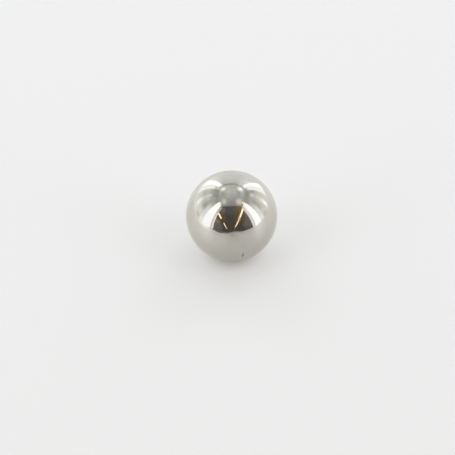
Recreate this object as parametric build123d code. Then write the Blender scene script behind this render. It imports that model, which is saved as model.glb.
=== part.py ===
from build123d import *
import os

# One solid steel ball, lapped round and polished all over, as used in bearings,
# detents and valves. Millimetres, +Z up, origin at the ball's centre.

# Driving dimension: the nominal size, measured across the ball.
ball_diameter = 10.0


def make_ball():
    """The whole ball: a true sphere with no flat, bore or seam."""
    return Sphere(radius=ball_diameter / 2)


os.makedirs("parts", exist_ok=True)
export_step(make_ball(), "parts/ball.step")
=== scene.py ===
import math
import random

import bpy
import numpy as np
from mathutils import Matrix, Vector
from mathutils import noise as mesh_noise


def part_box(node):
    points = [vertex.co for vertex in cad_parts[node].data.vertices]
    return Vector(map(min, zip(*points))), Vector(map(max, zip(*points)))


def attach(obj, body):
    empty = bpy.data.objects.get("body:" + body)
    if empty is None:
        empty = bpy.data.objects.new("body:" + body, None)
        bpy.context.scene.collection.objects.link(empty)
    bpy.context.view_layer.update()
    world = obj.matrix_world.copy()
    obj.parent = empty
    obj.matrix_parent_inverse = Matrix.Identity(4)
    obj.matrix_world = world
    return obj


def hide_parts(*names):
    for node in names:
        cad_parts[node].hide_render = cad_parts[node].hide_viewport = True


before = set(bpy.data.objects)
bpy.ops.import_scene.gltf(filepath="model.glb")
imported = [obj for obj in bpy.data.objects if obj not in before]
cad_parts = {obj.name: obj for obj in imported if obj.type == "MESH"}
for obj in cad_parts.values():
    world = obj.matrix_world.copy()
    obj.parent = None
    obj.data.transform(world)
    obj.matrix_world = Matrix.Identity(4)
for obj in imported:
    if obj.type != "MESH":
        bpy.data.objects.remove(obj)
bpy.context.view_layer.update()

# A polished steel ball on the pale floor of a small light tent. Metres, in the frame of the CAD model:
# +Z is up, the origin is the ball's centre, and the camera looks along +Y and down.
low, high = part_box("ball")
BALL_RADIUS = (high.z - low.z) / 2
FLOOR_Z = low.z
MM = 0.001

# The photograph's frame, in its own pixels, and how the camera stood.
PHOTO_SIZE = 455
BALL_PIXEL = (231.6, 216.1)
BALL_PIXEL_RADIUS = 45.8
CAMERA_ELEVATION = math.radians(42)
CAMERA_ROLL = math.radians(-1)
CAMERA_DISTANCE = 350 * MM
CAMERA_CLIP = (10 * MM, 100)
SENSOR_WIDTH_MM = 36

# The ball's mesh: six patches, each a square grid that is finest at its middle. Points of two patches are
# one point where they agree to this many digits.
PATCH_CELLS = 116
MIDDLE_CELL_SHARE = 0.45
WELD_DIGITS = 7

# The mark near the ball's foot: where it shows in the photograph, and its size along and across.
MARK_PIXEL = (242.9, 254.9)
MARK_LENGTH = 1.1 * MM
MARK_WIDTH = 0.3 * MM
MARK_DEPTH = 0.02 * MM
# Its shape, with distances from its middle in half lengths and half widths, and heights as shares of its
# depth: how far it reaches, how steeply it fades, how uneven it is, and the low lip round it.
MARK_REACH = 3
MARK_STEEPNESS = 1.2
MARK_UNEVENNESS = 0.8
MARK_BUMPS_PER_MM = 9
MARK_LIP_HEIGHT = 0.2
MARK_LIP_PLACE = 1.35
MARK_LIP_STEEPNESS = 4
# Its dark floor: the ragged edge, the streaks in it, how dark it stays between them, and how far out from
# the ball's centre, towards the mark, it starts and is full.
STAIN_EDGE = (1.35, 0.1)
STAIN_RAGGEDNESS = 3.0
STAIN_RAGS_PER_MM = 6
STAIN_STREAKS_PER_MM = 15
STAIN_STREAK_RANGE = (0.35, 0.62)
STAIN_BETWEEN_STREAKS = 0.4
STAIN_START_MM = (4, 4.5)

# The steel: its colour, a slightly duller tone for smudges and lines, and a dark one for the mark and pits.
STEEL_COLOUR = (0.56, 0.54, 0.485, 1)
STEEL_DULL = (0.5, 0.48, 0.435, 1)
STAIN_COLOUR = (0.27, 0.25, 0.22, 1)
# Hairlines left by lapping: circles about several axes, of which only stretches show. Each axis takes its
# lines and its stretches from another place in the texture, by random shifts in these ranges.
HAIRLINE_SEED = 7
HAIRLINE_AXES = 7
HAIRLINES_PER_MM = 1.6
HAIRLINE_HALF_MM = 0.024
HAIRLINE_DEPTH = 0.0006 * MM
HAIRLINE_SHIFT_MM = (20, 90)
STRETCHES_PER_MM = 0.4
STRETCH_RANGE = (0.5, 0.68)
STRETCH_SHIFT_MM = (0, 90)
# Smudges, fine grain and pits: how many to a millimetre, and where each starts and is full. The grain's
# height is a share of a hairline's depth.
SMUDGES_PER_MM = 0.5
SMUDGE_RANGE = (0.45, 0.72)
GRAINS_PER_MM = 14
GRAIN_HEIGHT = 0.1
PITS_PER_MM = 0.8
PIT_RANGE = (0.035, 0.015)
# How rough the steel is where it is clean, and what each blemish adds.
CLEAN_ROUGHNESS = 0.035
SMUDGE_ROUGHNESS = 0.05
GRAIN_ROUGHNESS = 0.02
HAIRLINE_ROUGHNESS = 0.1
DAMAGE_ROUGHNESS = 0.4
# How far each blemish takes the colour to the duller tone, and a pit to the dark one.
HAIRLINE_DULLING = 0.6
SMUDGE_DULLING = 0.5
PIT_DARKENING = 0.6

# The light tent, as distances from the ball's centre to its walls, its ceiling and the ceiling's front.
TENT_LEFT = 222 * MM
TENT_RIGHT = 256 * MM
TENT_BACK = 380 * MM
TENT_TOP = 450 * MM
TENT_TOP_FRONT = 190 * MM
# The light strips stand this far in front of the cloth.
STRIP_GAP = 2 * MM
# Upright edges along the side walls, each as its y at the foot and at the head: the front of each wall, the
# dim post and the bright strip near each front corner, and the dim strip near each back corner.
LEFT_WALL_FRONT = (-214 * MM, -214 * MM)
RIGHT_WALL_FRONT = (-198 * MM, -244 * MM)
LEFT_POST_FRONT = (LEFT_WALL_FRONT[0], -220 * MM)
RIGHT_POST_FRONT = (-185 * MM, -236 * MM)
LEFT_STRIP_FRONT = (-164 * MM, -160 * MM)
RIGHT_STRIP_FRONT = (-150 * MM, -163 * MM)
LEFT_STRIP_BACK = (-54 * MM, -58 * MM)
RIGHT_STRIP_BACK = (-61 * MM, -72 * MM)
LEFT_DIM_FRONT = (232 * MM, 236 * MM)
RIGHT_DIM_FRONT = (214 * MM, 222 * MM)
LEFT_DIM_BACK = (334 * MM, 334 * MM)
RIGHT_DIM_BACK = (308 * MM, 308 * MM)
# The bright back strips: the left one runs from its dim strip round the corner to an x on the back wall,
# and the right one cuts across its corner, from a y on the side wall to an x on the back wall.
BACK_LEFT_STRIP_X = -158 * MM
BACK_RIGHT_STRIP_Y = 310 * MM
BACK_RIGHT_STRIP_X = 218 * MM

# What the tent's cloths and strips glow with: colour, level, and how uneven each cloth is.
SIDE_COLOUR = (0.99, 1.02, 1.0, 1)
SIDE_LEVEL = 0.52
SIDE_MOTTLE = 0.22
BACK_COLOUR = (0.98, 1.01, 1.03, 1)
BACK_LEVEL = 0.83
BACK_MOTTLE = 0.1
TOP_COLOUR = (0.98, 1.01, 1.0, 1)
TOP_LEVEL = 0.79
TOP_MOTTLE = 0.16
MOTTLE_SCALE = 16.0
STRIP_COLOUR = (0.97, 1.0, 1.08, 1)
STRIP_LEVEL = 1.84
DIM_COLOUR = (0.97, 1.0, 1.03, 1)
DIM_LEVEL = 1.6
POST_COLOUR = (1.0, 0.98, 1.0, 1)
LEFT_POST_LEVEL = 1.48
RIGHT_POST_LEVEL = 1.28
# Warmer tints near the tops of three of them, and the heights where a tint starts and is full.
LEFT_STRIP_TINT = (1.0, 1.0, 0.8, 1)
RIGHT_STRIP_TINT = (1.0, 0.9, 0.73, 1)
RIGHT_POST_TINT = (1.0, 0.85, 0.65, 1)
TINT_RANGE = (300 * MM, 420 * MM)

# Soft-edged lighter and darker places, in millimetres. Each row: first and last across the cloth, first and
# last up it (or from front to back on the ceiling), how softly its edges fade, and its gain. FAR is past
# every edge.
FAR = 1000
SIDE_PATCHES = [
    (-FAR, FAR, -FAR, 170, 210, 2.3),  # brighter low down
    (-FAR, FAR, 400, FAR, 30, 1.1),  # the top
    (-66, -14, -FAR, 190, 14, 1.22),  # a light fold
    (-2, 48, 68, 220, 16, 0.77),  # a dark fold
    (-2, 48, -FAR, 18, 10, 0.8),  # the dark fold's foot
    (84, 132, -FAR, 190, 18, 1.17),  # a second light fold
    (95, 125, 20, 100, 16, 1.2),  # its brightest stretch
]
LEFT_PATCHES = SIDE_PATCHES + [
    (-20, 240, 90, 140, 25, 0.88),  # a dull band
    (92, 130, 185, 240, 18, 1.4),  # the second light fold's head
    (70, 115, 290, 350, 25, 0.85),  # a dull place above it
    (202, 236, 110, 330, 14, 1.12),  # beside the back strip
]
RIGHT_PATCHES = SIDE_PATCHES + [
    (0, 150, 225, 300, 40, 1.1),  # a light band
    (90, 138, 200, 285, 20, 1.5),  # the second light fold's head
    (-60, -20, 200, 300, 20, 1.2),  # the first light fold's head
    (85, 125, 0, 150, 18, 1.1),  # the second light fold's foot
    (85, 110, 20, 55, 12, 1.25),  # its brightest stretch here
    (194, 228, 270, 440, 14, 1.24),  # beside the back strip
]
BACK_PATCHES = [
    (-FAR, FAR, -FAR, 240, 190, 1.28),  # brighter low down
    (-150, 125, 415, FAR, 14, 0.62),  # the seam along the top
    (-230, -120, -FAR, 330, 45, 1.2),  # beside the left strip
    (125, 260, 150, FAR, 55, 1.3),  # beside the right strip
    (-40, 80, -FAR, 140, 30, 0.92),  # duller low in the middle
]
TOP_PATCHES = [
    (-FAR, FAR, -FAR, -15, 185, 0.54),  # darker towards the front
    (-150, 135, 335, FAR, 16, 0.72),  # the seam along the back
    (-FAR, -205, -FAR, FAR, 30, 0.9),  # the left edge
    (225, FAR, -FAR, FAR, 30, 0.9),  # the right edge
    (-178, -108, 188, 276, 40, 2.25),  # a glow near each corner, back left first
    (126, 212, 180, 282, 40, 2.25),
    (-180, -104, -136, -34, 44, 2.1),
    (100, 215, -146, -38, 44, 2.15),
    (-60, 70, -FAR, -176, 6, 0.86),  # the front edge
    (-240, -205, -125, -85, 12, 2.6),  # where the front left strip meets it
    (222, 270, -120, -75, 12, 2.6),  # where the front right strip meets it
    (-70, -25, -FAR, 280, 25, 1.08),  # a light fold
    (90, 160, 30, 170, 25, 0.84),  # between the right-hand glows
    (-190, -120, 30, 170, 30, 0.8),  # between the left-hand glows
]
STRIP_PATCHES = [
    (-FAR, FAR, 440, FAR, 10, 0.8),  # the top
]
LEFT_DIM_PATCHES = [
    (-FAR, 308, 285, FAR, 20, 0.6),  # the upper front part
    (298, 322, -FAR, FAR, 8, 0.88),  # a crease
]
RIGHT_DIM_PATCHES = [
    (-FAR, 286, 345, FAR, 16, 0.45),  # the upper front part
]
LEFT_POST_PATCHES = [
    (-190, -161, -FAR, FAR, 3, 0.66),  # the side next to the strip
    (-FAR, FAR, 250, FAR, 60, 0.6),  # the upper part
]
RIGHT_POST_PATCHES = [
    (-174, FAR, -FAR, 240, 3, 0.86),  # the side next to the strip, low down
    (-FAR, FAR, 250, FAR, 60, 0.9),  # the upper part
]

# The dark surround that the tent opens on. Its colour turns from the low one to the upper one between the
# two heights of SURROUND_TURN, each the sine of its angle above the horizon.
SURROUND_REACH = 16.0
SURROUND_LEVEL = 0.105
SURROUND_COLOUR = (1.0, 0.94, 1.05, 1)
SURROUND_LOW_COLOUR = (1.0, 0.94, 0.86, 1)
SURROUND_TURN = (0.4, 0.65)
# Lighter places in the surround. Each: its bearing, height and radius in degrees, and its gain. Bearings
# turn from the front, -Y, to the right.
SURROUND_SPOTS = [
    (-38, 12, 20, 1.0),
    (-38, 27, 11, 0.9),
    (45, 16, 20, 1.1),
    (47, 39, 12, 1.3),
    (-42, 50, 14, 1.3),
    (0, 60, 22, 0.45),
]

# Two rows of warm lamps high in the surround, the left one in two parts. Each part: its near and far ends
# on the plan, and its lit stretches as far y, near y, level.
LAMP_ROWS = [
    ("lamps_near_left", (-1.46, -1.3), (-1.54, -3.2), [(-2.5, -1.5, 2.6)]),
    ("lamps_far_left", (-1.47, -3.2), (-2.44, -12.9), [(-9.6, -4.0, 2.4), (-12.6, -9.8, 1.2)]),
    (
        "lamps_right",
        (1.1, -0.6),
        (1.1, -10.6),
        [(-2.4, -0.7, 2.3), (-3.2, -2.4, 1.7), (-6.9, -3.3, 2.6), (-10.4, -7.1, 0.6)],
    ),
]
LAMP_Z = 1.8
LAMP_COLOUR = (1.0, 0.9, 0.69, 1)
# A row's width, how far from its middle line it starts to show and is full, and how softly a stretch ends.
LAMP_WIDTH = 0.19
LAMP_EDGE = (0.6 * LAMP_WIDTH, 0.4 * LAMP_WIDTH)
LAMP_END_FADE = 0.1
# The brown glow round the lamps: its full width, where it starts to fade and has gone, its level, and each
# stretch of y over which it gets brighter towards the tent, with the gain.
HALO_COLOUR = (1.0, 0.7, 0.3, 1)
HALO_WIDTH = 2.2
HALO_EDGE = (0.1 * HALO_WIDTH, 0.5 * HALO_WIDTH)
HALO_LEVEL = 0.12
HALO_RISES = [(-4.2, -2.2, 0.08), (-1.8, -0.8, 0.12)]

# A dark apron, just above the floor, that ends the mirrored floor early in front on the left: its outline
# on the plan, in millimetres.
APRON_LIFT = 0.5 * MM
APRON_OUTLINE = [
    (-400, -150),
    (-120, -134),
    (-74, -98),
    (-56, -93),
    (-43, -90),
    (-43, -112),
    (-38, -124),
    (-27, -122),
    (-23, -165),
    (-25, -400),
    (-400, -400),
]

# The pale floor, which fades into a plain background where only the camera sees it. It gives off painted
# light, which lifts the ball's shadow: nothing at the ball's foot, and full at FLOOR_PAINTED_FILL_FULL from
# there.
FLOOR_HALF_WIDTH = 1.2
FLOOR_COLOUR = (0.677, 0.675, 0.679, 1)
FLOOR_ROUGHNESS = 0.38
FLOOR_GLOSS = 0.45
# Painted light that the floor gives off, which lifts the ball's shadow: its level, its colour, and where it
# is full.
FLOOR_PAINTED_FILL = 0.3
FLOOR_PAINTED_FILL_COLOUR = (1, 0.99, 0.97, 1)
FLOOR_PAINTED_FILL_FULL = 4 * MM
BACKGROUND = (0.855, 0.855, 0.855, 1)
FADE_START = 60 * MM
FADE_END = 170 * MM
# How much painted light the floor gives off where the ball mirrors it, a painted reflection: in the middle,
# and what is added at the sides, just left of the foot, far left, in a slanting painted pool of light on
# the left, and the painted shade that takes some away at the front.
FLOOR_MIDDLE_PAINTED_LIGHT = 0.25
FLOOR_SIDE_PAINTED_LIGHT = 0.08
FLOOR_NEAR_LEFT_PAINTED_LIGHT = 0.06
FLOOR_LEFT_PAINTED_LIGHT = 0.1
FLOOR_POOL_PAINTED_LIGHT = 0.4
FLOOR_FRONT_PAINTED_SHADE = 0.12
# Where each of these starts and is full, in x or y.
FLOOR_SIDE_X = (3 * MM, 16 * MM)
FLOOR_NEAR_LEFT_X = (-1 * MM, -5 * MM)
FLOOR_NEAR_LEFT_Y = (6 * MM, 1 * MM)
FLOOR_LEFT_X = (-25 * MM, -100 * MM)
FLOOR_FRONT_X = (45 * MM, -15 * MM)
FLOOR_POOL_X = (-30 * MM, -85 * MM)
# The front's first and last y, and how softly they fade. The pool's slope on the plan, and how far from its
# middle line it starts and is full.
FLOOR_FRONT_Y = (-150 * MM, -40 * MM, 30 * MM)
FLOOR_POOL_SLOPE = 0.38
FLOOR_POOL_EDGE = (32 * MM, 8 * MM)

# A low pale rise, just inside the floor's far front edge: its outline in x and z.
RISE_INSET = 10 * MM
RISE_COLOUR = (1.0, 0.97, 0.85, 1)
RISE_LEVEL = 0.5
RISE_OUTLINE = [
    (-80 * MM, FLOOR_Z),
    (520 * MM, FLOOR_Z),
    (320 * MM, 44 * MM),
    (220 * MM, 60 * MM),
    (90 * MM, 58 * MM),
    (10 * MM, 38 * MM),
]


def mesh_object(name, points, faces):
    """An object with a mesh of these points and faces, in the scene."""
    mesh = bpy.data.meshes.new(name)
    mesh.from_pydata([tuple(p) for p in points], [], faces)
    mesh.update()
    piece = bpy.data.objects.new(name, mesh)
    bpy.context.scene.collection.objects.link(piece)
    return piece


def new_material(name):
    """A material with an empty node tree, and its output node."""
    material = bpy.data.materials.new(name)
    material.use_nodes = True
    tree = material.node_tree
    tree.nodes.clear()
    return material, tree, tree.nodes.new("ShaderNodeOutputMaterial")


def feed(tree, slot, value):
    """Links a node's slot to a socket, or sets it to a plain number or colour."""
    if isinstance(value, bpy.types.NodeSocket):
        tree.links.new(value, slot)
    else:
        slot.default_value = value


def maths(tree, operation, *values):
    """A Math node on numbers or sockets."""
    node = tree.nodes.new("ShaderNodeMath")
    node.operation = operation
    for slot, value in zip(node.inputs, values):
        feed(tree, slot, value)
    return node.outputs["Value"]


def vector_maths(tree, operation, vector, other=None):
    """A Vector Math node on a socket and, where the operation takes one, a second fixed vector."""
    node = tree.nodes.new("ShaderNodeVectorMath")
    node.operation = operation
    tree.links.new(vector, node.inputs[0])
    if other is not None:
        node.inputs[1].default_value = other
    return node


def direction_dot(tree, place, direction):
    """How far a place lies along a direction."""
    return vector_maths(tree, "DOT_PRODUCT", place, direction).outputs["Value"]


def position(tree):
    """The point being shaded."""
    return tree.nodes.new("ShaderNodeNewGeometry").outputs["Position"]


def axes(tree, vector):
    """A vector's X, Y and Z."""
    split = tree.nodes.new("ShaderNodeSeparateXYZ")
    tree.links.new(vector, split.inputs["Vector"])
    return split.outputs


def smooth_step(tree, value, start, end):
    """0 up to start, 1 past end, and smooth between them. With start past end it falls instead."""
    node = tree.nodes.new("ShaderNodeMapRange")
    node.interpolation_type = "SMOOTHSTEP"
    node.inputs["From Min"].default_value = min(start, end)
    node.inputs["From Max"].default_value = max(start, end)
    if start > end:
        node.inputs["To Min"].default_value = 1
        node.inputs["To Max"].default_value = 0
    tree.links.new(value, node.inputs["Value"])
    return node.outputs["Result"]


def window(tree, value, first, last, soft):
    """1 between first and last, with edges that fade over soft on each side."""
    rise = smooth_step(tree, value, first - soft, first + soft)
    fall = smooth_step(tree, value, last + soft, last - soft)
    return maths(tree, "MULTIPLY", rise, fall)


def add_shares(tree, total, parts):
    """A starting value, plus each part's share times its gain."""
    for share, gain in parts:
        total = maths(tree, "MULTIPLY_ADD", share, gain, total)
    return total


def noise(tree, vector, scale, detail):
    """Cloudy noise, 0 to 1."""
    node = tree.nodes.new("ShaderNodeTexNoise")
    node.inputs["Scale"].default_value = scale
    node.inputs["Detail"].default_value = detail
    tree.links.new(vector, node.inputs["Vector"])
    return node.outputs["Fac"]


def mix_colours(tree, share, first, second):
    """The first colour where share is 0, and the second where it is 1."""
    mix = tree.nodes.new("ShaderNodeMix")
    mix.data_type = "RGBA"
    tree.links.new(share, mix.inputs["Factor"])
    feed(tree, mix.inputs["A"], first)
    feed(tree, mix.inputs["B"], second)
    return mix.outputs["Result"]


def mix_shaders(tree, share, first, second):
    """The first shader where share is 0, and the second where it is 1."""
    mix = tree.nodes.new("ShaderNodeMixShader")
    tree.links.new(share, mix.inputs["Fac"])
    tree.links.new(first, mix.inputs[1])
    tree.links.new(second, mix.inputs[2])
    return mix.outputs["Shader"]


def emission(tree, colour, strength):
    """A shader that gives off light."""
    light = tree.nodes.new("ShaderNodeEmission")
    feed(tree, light.inputs["Color"], colour)
    feed(tree, light.inputs["Strength"], strength)
    return light.outputs["Emission"]


# The ball


def patch_place(share):
    """Where a grid line lies across a patch, from -1 to 1, with the lines closest at the middle."""
    return MIDDLE_CELL_SHARE * share + (1 - MIDDLE_CELL_SHARE) * share**3


def camera_axes():
    """The directions from the ball to the camera, to the picture's right, and to its top."""
    back = Vector((0, -math.cos(CAMERA_ELEVATION), math.sin(CAMERA_ELEVATION)))
    roll = Matrix.Rotation(CAMERA_ROLL, 3, back)
    right = roll @ Vector((1, 0, 0))
    return back, right, back.cross(right)


def mark_axes():
    """The mark's own axes: straight out of the ball, across the mark, and along it."""
    back, right, above = camera_axes()
    x = (MARK_PIXEL[0] - BALL_PIXEL[0]) / BALL_PIXEL_RADIUS
    y = (BALL_PIXEL[1] - MARK_PIXEL[1]) / BALL_PIXEL_RADIUS
    out = right * x + above * y + back * math.sqrt(1 - x**2 - y**2)
    side = Vector((0, 0, 1)).cross(out).normalized()
    return out, side, out.cross(side).normalized()


def mark_depth(direction, out, side, top):
    """How far the surface lies below the true sphere at a direction, in metres: a short nick."""
    if direction.dot(out) < 0:
        return 0.0
    length = direction.dot(top) * BALL_RADIUS / (MARK_LENGTH / 2)
    width = direction.dot(side) * BALL_RADIUS / (MARK_WIDTH / 2)
    reach = length**2 + width**2
    if reach > MARK_REACH**2:
        return 0.0
    bumps = mesh_noise.noise(direction * (BALL_RADIUS / MM) * MARK_BUMPS_PER_MM)
    uneven = 1 + MARK_UNEVENNESS * bumps
    lip = MARK_LIP_HEIGHT * math.exp(-MARK_LIP_STEEPNESS * (math.sqrt(reach) - MARK_LIP_PLACE) ** 2)
    return MARK_DEPTH * (uneven * math.exp(-MARK_STEEPNESS * reach) - lip)


def make_ball():
    """The ball as six patches of one closed mesh. The first patch is centred on the mark."""
    front, side, top = mark_axes()
    patches = [
        (front, side, top),
        (-front, -side, top),
        (side, -front, top),
        (-side, front, top),
        (top, side, -front),
        (-top, side, front),
    ]
    steps = [patch_place(2 * i / PATCH_CELLS - 1) for i in range(PATCH_CELLS + 1)]
    spread = [math.tan(step * math.pi / 4) for step in steps]
    found = {}
    points = []
    faces = []
    places = []
    for number, (out, right, up) in enumerate(patches):
        grid = []
        for v in spread:
            row = []
            for u in spread:
                direction = (out + right * u + up * v).normalized()
                key = tuple(round(c, WELD_DIGITS) for c in direction)
                if key not in found:
                    found[key] = len(points)
                    points.append(direction * (BALL_RADIUS - mark_depth(direction, front, side, top)))
                row.append(found[key])
            grid.append(row)
        for j in range(PATCH_CELLS):
            for i in range(PATCH_CELLS):
                faces.append((grid[j][i], grid[j][i + 1], grid[j + 1][i + 1], grid[j + 1][i]))
                places.append((number, i, j))
    ball = mesh_object("steel_ball", points, faces)
    ball.data.polygons.foreach_set("use_smooth", [True] * len(faces))
    lay_out(ball.data, places)
    return ball


def lay_out(mesh, places):
    """A map of the six patches, three across and two up, each with a narrow border."""
    columns, rows, border = 3, 2, 0.01
    layer = mesh.uv_layers.new(name="OFBake")
    uv = np.empty((len(mesh.loops), 2), np.float32)
    corners = ((0, 0), (1, 0), (1, 1), (0, 1))
    for face, (number, i, j) in enumerate(places):
        left = (number % columns) / columns
        bottom = (number // columns) / rows
        for corner, (di, dj) in enumerate(corners):
            across = (i + di) / PATCH_CELLS
            upward = (j + dj) / PATCH_CELLS
            uv[4 * face + corner] = (
                left + (border + (1 - 2 * border) * across) / columns,
                bottom + (border + (1 - 2 * border) * upward) / rows,
            )
    layer.uv.foreach_set("vector", uv.ravel())


def hairlines(tree, place):
    """Faint lapping lines, 0 to 1: arcs of circles about several axes. Places are in millimetres."""
    dice = random.Random(HAIRLINE_SEED)
    total = None
    for _ in range(HAIRLINE_AXES):
        axis = Vector([dice.gauss(0, 1) for _ in range(3)]).normalized()
        along = direction_dot(tree, place, axis)
        cells = tree.nodes.new("ShaderNodeTexVoronoi")
        cells.voronoi_dimensions = "1D"
        cells.inputs["Scale"].default_value = HAIRLINES_PER_MM
        tree.links.new(maths(tree, "ADD", along, dice.uniform(*HAIRLINE_SHIFT_MM)), cells.inputs["W"])
        line = smooth_step(tree, cells.outputs["Distance"], HAIRLINE_HALF_MM * HAIRLINES_PER_MM, 0)
        shift = [dice.uniform(*STRETCH_SHIFT_MM) for _ in range(3)]
        shifted = vector_maths(tree, "ADD", place, shift).outputs["Vector"]
        stretch = smooth_step(tree, noise(tree, shifted, STRETCHES_PER_MM, detail=1), *STRETCH_RANGE)
        arc = maths(tree, "MULTIPLY", line, stretch)
        total = arc if total is None else maths(tree, "MAXIMUM", total, arc)
    return total


def pits(tree, place):
    """Tiny round pits, 0 to 1. Places are in millimetres."""
    cells = tree.nodes.new("ShaderNodeTexVoronoi")
    cells.inputs["Scale"].default_value = PITS_PER_MM
    tree.links.new(place, cells.inputs["Vector"])
    return smooth_step(tree, cells.outputs["Distance"], *PIT_RANGE)


def mark_stain(tree, place):
    """The dark floor of the mark, 0 to 1, with a ragged edge. Places are in millimetres."""
    out, side, top = mark_axes()
    length = direction_dot(tree, place, top / (MARK_LENGTH / MM / 2))
    width = direction_dot(tree, place, side / (MARK_WIDTH / MM / 2))
    length_squared = maths(tree, "MULTIPLY", length, length)
    width_squared = maths(tree, "MULTIPLY", width, width)
    reach = maths(tree, "ADD", length_squared, width_squared)
    rags = noise(tree, place, STAIN_RAGS_PER_MM, detail=4)
    ragged = maths(tree, "MULTIPLY_ADD", rags, STAIN_RAGGEDNESS, -STAIN_RAGGEDNESS / 2)
    inside = smooth_step(tree, maths(tree, "ADD", reach, ragged), *STAIN_EDGE)
    streaks = smooth_step(tree, noise(tree, place, STAIN_STREAKS_PER_MM, detail=3), *STAIN_STREAK_RANGE)
    streaky = maths(tree, "MULTIPLY_ADD", streaks, 1 - STAIN_BETWEEN_STREAKS, STAIN_BETWEEN_STREAKS)
    outward = smooth_step(tree, direction_dot(tree, place, out), *STAIN_START_MM)
    return maths(tree, "MULTIPLY", maths(tree, "MULTIPLY", inside, streaky), outward)


def steel():
    """Bare lapped steel: a mirror with faint hairlines, cloudy patches and tiny pits, and the dark mark."""
    material, tree, output = new_material("lapped_steel")
    where = tree.nodes.new("ShaderNodeTexCoord").outputs["Object"]
    scaled = vector_maths(tree, "SCALE", where)
    scaled.inputs["Scale"].default_value = 1 / MM
    place = scaled.outputs["Vector"]

    lines = hairlines(tree, place)
    smudge = smooth_step(tree, noise(tree, place, SMUDGES_PER_MM, detail=5), *SMUDGE_RANGE)
    grain = noise(tree, place, GRAINS_PER_MM, detail=3)
    pit = pits(tree, place)
    stain = mark_stain(tree, place)

    damage = maths(tree, "MAXIMUM", pit, stain)
    roughening = [
        (smudge, SMUDGE_ROUGHNESS),
        (grain, GRAIN_ROUGHNESS),
        (lines, HAIRLINE_ROUGHNESS),
        (damage, DAMAGE_ROUGHNESS),
    ]
    roughness = add_shares(tree, CLEAN_ROUGHNESS, roughening)

    dullness = maths(tree, "MULTIPLY", smudge, SMUDGE_DULLING)
    dullness = maths(tree, "MULTIPLY_ADD", lines, HAIRLINE_DULLING, dullness)
    tone = mix_colours(tree, dullness, STEEL_COLOUR, STEEL_DULL)
    darkness = maths(tree, "MAXIMUM", maths(tree, "MULTIPLY", pit, PIT_DARKENING), stain)
    colour = mix_colours(tree, darkness, tone, STAIN_COLOUR)

    cuts = maths(tree, "MULTIPLY", maths(tree, "ADD", lines, pit), -1)
    bump = tree.nodes.new("ShaderNodeBump")
    bump.inputs["Distance"].default_value = HAIRLINE_DEPTH
    tree.links.new(maths(tree, "MULTIPLY_ADD", grain, GRAIN_HEIGHT, cuts), bump.inputs["Height"])

    shader = tree.nodes.new("ShaderNodeBsdfPrincipled")
    shader.inputs["Metallic"].default_value = 1
    tree.links.new(colour, shader.inputs["Base Color"])
    tree.links.new(roughness, shader.inputs["Roughness"])
    tree.links.new(bump.outputs["Normal"], shader.inputs["Normal"])
    tree.links.new(shader.outputs["BSDF"], output.inputs["Surface"])
    return material


# The stage: the tent


def glow_material(name, colour, level, patches=(), across="X", upward="Z", mottle=0.0, tint=None):
    """Cloth that gives off light: a plain level, times the gain of each soft-edged patch on it. It may be
    faintly uneven, and turn to a tint near its top."""
    material, tree, output = new_material(name)
    place = position(tree)
    along = axes(tree, place)
    brightness = level
    for first, last, bottom, top, soft, gain in patches:
        wide = window(tree, along[across], first * MM, last * MM, soft * MM)
        tall = window(tree, along[upward], bottom * MM, top * MM, soft * MM)
        share = maths(tree, "MULTIPLY", wide, tall)
        times = maths(tree, "MULTIPLY_ADD", share, gain - 1, 1)
        brightness = maths(tree, "MULTIPLY", brightness, times)
    if mottle:
        cloudy = noise(tree, place, MOTTLE_SCALE, detail=4)
        times = maths(tree, "MULTIPLY_ADD", cloudy, 2 * mottle, 1 - mottle)
        brightness = maths(tree, "MULTIPLY", brightness, times)
    if tint is not None:
        colour = mix_colours(tree, smooth_step(tree, along["Z"], *TINT_RANGE), colour, tint)
    tree.links.new(emission(tree, colour, brightness), output.inputs["Surface"])
    return material


def level_corners(left, right, near, far, z):
    """The corners of a level rectangle."""
    return [(left, near, z), (right, near, z), (right, far, z), (left, far, z)]


def stage_panel(name, corners, material):
    """A flat panel that shows in the ball and can light it, but that the camera doesn't see."""
    panel = mesh_object(name, corners, [tuple(range(len(corners)))])
    panel.data.materials.append(material)
    panel.visible_camera = False
    return panel


def side_panel(name, x, near, far, top, material):
    """An upright panel along a side wall. Each upright edge is its y at the foot and its y at the head."""
    corners = [(x, near[0], FLOOR_Z), (x, far[0], FLOOR_Z), (x, far[1], top), (x, near[1], top)]
    return stage_panel(name, corners, material)


def upright_panel(name, first, last, top, material):
    """An upright panel between two points of the plan, (x, y)."""
    corners = [(*first, FLOOR_Z), (*last, FLOOR_Z), (*last, top), (*first, top)]
    return stage_panel(name, corners, material)


def side_material(name, patches):
    """The cloth of the side walls."""
    return glow_material(name, SIDE_COLOUR, SIDE_LEVEL, patches, "Y", "Z", SIDE_MOTTLE)


def make_walls():
    """The tent's cloth walls and ceiling. Its front is open."""
    left, right, back = -TENT_LEFT, TENT_RIGHT, TENT_BACK
    back_edge = (back, back)
    left_cloth = side_material("left_cloth", LEFT_PATCHES)
    right_cloth = side_material("right_cloth", RIGHT_PATCHES)
    back_cloth = glow_material("back_cloth", BACK_COLOUR, BACK_LEVEL, BACK_PATCHES, "X", "Z", BACK_MOTTLE)
    top_cloth = glow_material("top_cloth", TOP_COLOUR, TOP_LEVEL, TOP_PATCHES, "X", "Y", TOP_MOTTLE)
    side_panel("tent_left", left, LEFT_WALL_FRONT, back_edge, TENT_TOP, left_cloth)
    side_panel("tent_right", right, RIGHT_WALL_FRONT, back_edge, TENT_TOP, right_cloth)
    upright_panel("tent_back", (left, back), (right, back), TENT_TOP, back_cloth)
    stage_panel("tent_top", level_corners(left, right, -TENT_TOP_FRONT, back, TENT_TOP), top_cloth)


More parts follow.
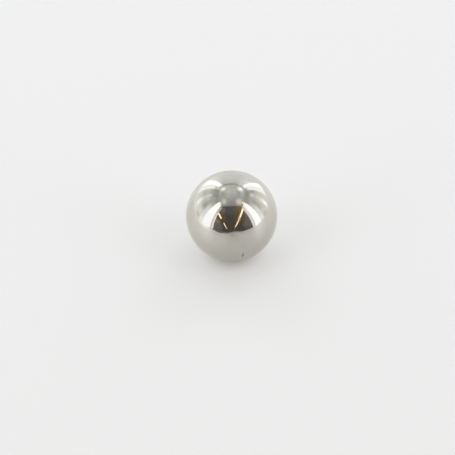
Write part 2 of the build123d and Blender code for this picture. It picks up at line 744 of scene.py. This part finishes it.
def strip_material(name, patches=(), tint=None):
    """The bright light strips' cloth."""
    return glow_material(name, STRIP_COLOUR, STRIP_LEVEL, patches, tint=tint)


def dim_material(name, patches):
    """The cloth of the dimmer strips near the back corners."""
    return glow_material(name, DIM_COLOUR, DIM_LEVEL, patches, "Y", "Z")


def post_material(name, level, patches, tint=None):
    """The cloth of the dimmer posts in front of the front strips."""
    return glow_material(name, POST_COLOUR, level, patches, "Y", "Z", tint=tint)


def make_strips():
    """An upright light strip near each corner of the tent, with a dimmer panel on its front side."""
    left, right, back = -TENT_LEFT + STRIP_GAP, TENT_RIGHT - STRIP_GAP, TENT_BACK - STRIP_GAP
    top = TENT_TOP - STRIP_GAP
    back_edge = (back, back)
    left_strip = strip_material("left_strip", STRIP_PATCHES, LEFT_STRIP_TINT)
    right_strip = strip_material("right_strip", STRIP_PATCHES, RIGHT_STRIP_TINT)
    back_strip = strip_material("back_strip")
    left_dim = dim_material("dim_left_strip", LEFT_DIM_PATCHES)
    right_dim = dim_material("dim_right_strip", RIGHT_DIM_PATCHES)
    left_post = post_material("left_post", LEFT_POST_LEVEL, LEFT_POST_PATCHES)
    right_post = post_material("right_post", RIGHT_POST_LEVEL, RIGHT_POST_PATCHES, RIGHT_POST_TINT)
    side_panel("strip_front_left", left, LEFT_STRIP_FRONT, LEFT_STRIP_BACK, top, left_strip)
    side_panel("strip_front_right", right, RIGHT_STRIP_FRONT, RIGHT_STRIP_BACK, top, right_strip)
    side_panel("strip_back_left_side", left, LEFT_DIM_FRONT, LEFT_DIM_BACK, top, left_dim)
    side_panel("strip_back_left_end", left, LEFT_DIM_BACK, back_edge, top, back_strip)
    side_panel("strip_back_right_side", right, RIGHT_DIM_FRONT, RIGHT_DIM_BACK, top, right_dim)
    side_panel("post_front_left", left, LEFT_POST_FRONT, LEFT_STRIP_FRONT, top, left_post)
    side_panel("post_front_right", right, RIGHT_POST_FRONT, RIGHT_STRIP_FRONT, top, right_post)
    upright_panel("strip_back_left", (left, back), (BACK_LEFT_STRIP_X, back), top, back_strip)
    first, last = (right, BACK_RIGHT_STRIP_Y), (BACK_RIGHT_STRIP_X, back)
    upright_panel("strip_back_right", first, last, top, back_strip)


# The stage: what the tent opens on


def surround_light(tree):
    """Nearly black, warmer low down, with the soft lighter places of SURROUND_SPOTS."""
    way = vector_maths(tree, "NORMALIZE", position(tree)).outputs["Vector"]
    brightness = SURROUND_LEVEL
    for bearing, height, radius, gain in SURROUND_SPOTS:
        turn, rise = math.radians(bearing), math.radians(height)
        centre = (math.sin(turn) * math.cos(rise), -math.cos(turn) * math.cos(rise), math.sin(rise))
        spot = smooth_step(tree, direction_dot(tree, way, centre), math.cos(math.radians(radius)), 1)
        brightness = maths(tree, "MULTIPLY", brightness, maths(tree, "MULTIPLY_ADD", spot, gain, 1))
    high_up = smooth_step(tree, axes(tree, way)["Z"], *SURROUND_TURN)
    return emission(tree, mix_colours(tree, high_up, SURROUND_LOW_COLOUR, SURROUND_COLOUR), brightness)


def surround_material():
    """The dark surround's own material."""
    material, tree, output = new_material("dark_surround")
    tree.links.new(surround_light(tree), output.inputs["Surface"])
    return material


def make_surround():
    """A large closed box round the tent, which the ball sees through the tent's open front."""
    reach = SURROUND_REACH
    corners = []
    for z in (-reach, reach):
        corners += level_corners(-reach, reach, -reach, reach, z)
    sides = [(i, (i + 1) % 4, (i + 1) % 4 + 4, i + 4) for i in range(4)]
    shell = mesh_object("surround", corners, [(0, 1, 2, 3), (4, 5, 6, 7), *sides])
    shell.data.materials.append(surround_material())
    shell.visible_camera = False


def lamp_material(name, near, slope, stretches):
    """Warm lamps along a line of the plan: a bright core, and a brown glow that fades into the dark."""
    material, tree, output = new_material(name)
    along = axes(tree, position(tree))
    line = maths(tree, "MULTIPLY_ADD", along["Y"], slope, near[0] - slope * near[1])
    offset = maths(tree, "ABSOLUTE", maths(tree, "SUBTRACT", along["X"], line))
    core = smooth_step(tree, offset, *LAMP_EDGE)
    lit = None
    for far_y, near_y, level in stretches:
        part = maths(tree, "MULTIPLY", window(tree, along["Y"], far_y, near_y, LAMP_END_FADE), level)
        lit = part if lit is None else maths(tree, "ADD", lit, part)
    lamps = emission(tree, LAMP_COLOUR, maths(tree, "MULTIPLY", core, lit))

    rises = [(smooth_step(tree, along["Y"], start, end), gain) for start, end, gain in HALO_RISES]
    halo = emission(tree, HALO_COLOUR, add_shares(tree, HALO_LEVEL, rises))
    around = mix_shaders(tree, smooth_step(tree, offset, *HALO_EDGE), halo, surround_light(tree))
    both = tree.nodes.new("ShaderNodeAddShader")
    tree.links.new(lamps, both.inputs[0])
    tree.links.new(around, both.inputs[1])
    tree.links.new(both.outputs["Shader"], output.inputs["Surface"])
    return material


def make_lamps():
    """The rows of warm lamps, which run away from the tent. Each part is a panel as wide as its glow."""
    half = HALO_WIDTH / 2
    for name, near, far, stretches in LAMP_ROWS:
        slope = (far[0] - near[0]) / (far[1] - near[1])
        plan = [(near[0] - half, near[1]), (near[0] + half, near[1])]
        plan += [(far[0] + half, far[1]), (far[0] - half, far[1])]
        corners = [(x, y, LAMP_Z) for x, y in plan]
        stage_panel(name, corners, lamp_material(name, near, slope, stretches))


def make_apron():
    """A dark sheet low in front of the ball on its left, where the mirrored floor ends early."""
    corners = [(x * MM, y * MM, FLOOR_Z + APRON_LIFT) for x, y in APRON_OUTLINE]
    dark = glow_material("apron", SURROUND_LOW_COLOUR, SURROUND_LEVEL)
    apron = stage_panel("apron", corners, dark)
    apron.visible_diffuse = False


def make_far_rise():
    """A low pale rise along the floor's far front edge."""
    corners = [(x, RISE_INSET - FLOOR_HALF_WIDTH, z) for x, z in RISE_OUTLINE]
    stage_panel("far_rise", corners, glow_material("pale_rise", RISE_COLOUR, RISE_LEVEL))


# The stage: the floor, the background and the camera


def mirrored_floor_painted_light(tree, place):
    """How much painted light the floor gives off, from place to place, where the ball mirrors it: a painted
    reflection.
    """
    along = axes(tree, place)
    x, y = along["X"], along["Y"]
    # Painted light and shade that only the ball's mirror sees: lighter to the sides and the left, a
    # slanting pool of light, and darker at the front.
    sideways = smooth_step(tree, maths(tree, "ABSOLUTE", x), *FLOOR_SIDE_X)
    near_left = smooth_step(tree, x, *FLOOR_NEAR_LEFT_X)
    near_left = maths(tree, "MULTIPLY", near_left, smooth_step(tree, y, *FLOOR_NEAR_LEFT_Y))
    left = smooth_step(tree, x, *FLOOR_LEFT_X)
    front = window(tree, y, *FLOOR_FRONT_Y)
    front = maths(tree, "MULTIPLY", front, smooth_step(tree, x, *FLOOR_FRONT_X))
    pool_line = maths(tree, "MULTIPLY", x, FLOOR_POOL_SLOPE)
    pool_offset = maths(tree, "ABSOLUTE", maths(tree, "SUBTRACT", y, pool_line))
    pool = smooth_step(tree, pool_offset, *FLOOR_POOL_EDGE)
    pool = maths(tree, "MULTIPLY", pool, smooth_step(tree, x, *FLOOR_POOL_X))
    parts = [
        (sideways, FLOOR_SIDE_PAINTED_LIGHT),
        (near_left, FLOOR_NEAR_LEFT_PAINTED_LIGHT),
        (left, FLOOR_LEFT_PAINTED_LIGHT),
        (front, -FLOOR_FRONT_PAINTED_SHADE),
        (pool, FLOOR_POOL_PAINTED_LIGHT),
    ]
    return add_shares(tree, FLOOR_MIDDLE_PAINTED_LIGHT, parts)


def sheet_shader(tree, gloss, glow):
    """The pale sheet, with a gloss and a glow of painted light."""
    sheet = tree.nodes.new("ShaderNodeBsdfPrincipled")
    sheet.inputs["Base Color"].default_value = FLOOR_COLOUR
    sheet.inputs["Roughness"].default_value = FLOOR_ROUGHNESS
    sheet.inputs["Specular IOR Level"].default_value = gloss
    sheet.inputs["Emission Color"].default_value = FLOOR_PAINTED_FILL_COLOUR
    tree.links.new(glow, sheet.inputs["Emission Strength"])
    return sheet.outputs["BSDF"]


def floor_material():
    """A smooth pale sheet that gives off painted light, which lifts the ball's shadow away from its foot.
    The ball shows its gloss and a painted reflection of lighter and darker places, and the camera sees it
    matte and fading into the plain background away from the ball."""
    material, tree, output = new_material("pale_sheet")
    place = position(tree)
    distance = vector_maths(tree, "DISTANCE", place, (0, 0, FLOOR_Z)).outputs["Value"]
    # Painted light on the floor: none at the ball's foot and full a little way out, so the shadow round the
    # ball is lifted.
    lit = smooth_step(tree, distance, 0, FLOOR_PAINTED_FILL_FULL)
    # The mirrored copy carries the painted reflection as well as the painted light round the foot.
    mirrored_painted_light = maths(tree, "MULTIPLY", lit, mirrored_floor_painted_light(tree, place))
    mirrored = sheet_shader(tree, FLOOR_GLOSS, mirrored_painted_light)
    matte = sheet_shader(tree, gloss=0, glow=maths(tree, "MULTIPLY", lit, FLOOR_PAINTED_FILL))
    plain = emission(tree, BACKGROUND, strength=1)
    fading = mix_shaders(tree, smooth_step(tree, distance, FADE_START, FADE_END), matte, plain)
    seen = tree.nodes.new("ShaderNodeLightPath").outputs["Is Camera Ray"]
    tree.links.new(mix_shaders(tree, seen, mirrored, fading), output.inputs["Surface"])
    return material


def make_floor():
    """The floor that the ball lies on."""
    half = FLOOR_HALF_WIDTH
    floor = mesh_object("floor", level_corners(-half, half, -half, half, FLOOR_Z), [(0, 1, 2, 3)])
    floor.data.materials.append(floor_material())


def make_background():
    """The plain pale background that the camera sees past the floor."""
    world = bpy.data.worlds.new("background")
    bpy.context.scene.world = world
    world.use_nodes = True
    background = world.node_tree.nodes["Background"]
    background.inputs["Color"].default_value = BACKGROUND
    world.cycles_visibility.diffuse = False


def make_camera():
    """A long lens that looks down at the ball and holds it where the photograph does."""
    data = bpy.data.cameras.new("camera")
    data.sensor_width = SENSOR_WIDTH_MM
    outline = math.tan(math.asin(BALL_RADIUS / CAMERA_DISTANCE))
    focal_pixels = BALL_PIXEL_RADIUS / outline
    data.lens = focal_pixels * SENSOR_WIDTH_MM / PHOTO_SIZE
    data.clip_start, data.clip_end = CAMERA_CLIP
    camera = bpy.data.objects.new("camera", data)
    bpy.context.scene.collection.objects.link(camera)
    back, right, above = camera_axes()
    look = Matrix((right, above, back)).transposed().to_4x4()
    across = math.atan((BALL_PIXEL[0] - PHOTO_SIZE / 2) / focal_pixels)
    upward = math.atan((PHOTO_SIZE / 2 - BALL_PIXEL[1]) / focal_pixels)
    aim = Matrix.Rotation(across, 4, "Y") @ Matrix.Rotation(-upward, 4, "X")
    camera.matrix_world = Matrix.Translation(back * CAMERA_DISTANCE) @ look @ aim
    bpy.context.scene.camera = camera


ball = make_ball()
ball.data.materials.append(steel())
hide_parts("ball")
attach(ball, "root")

make_walls()
make_strips()
make_surround()
make_lamps()
make_apron()
make_far_rise()
make_floor()
make_background()
make_camera()
bpy.context.scene.view_settings.view_transform = "Standard"
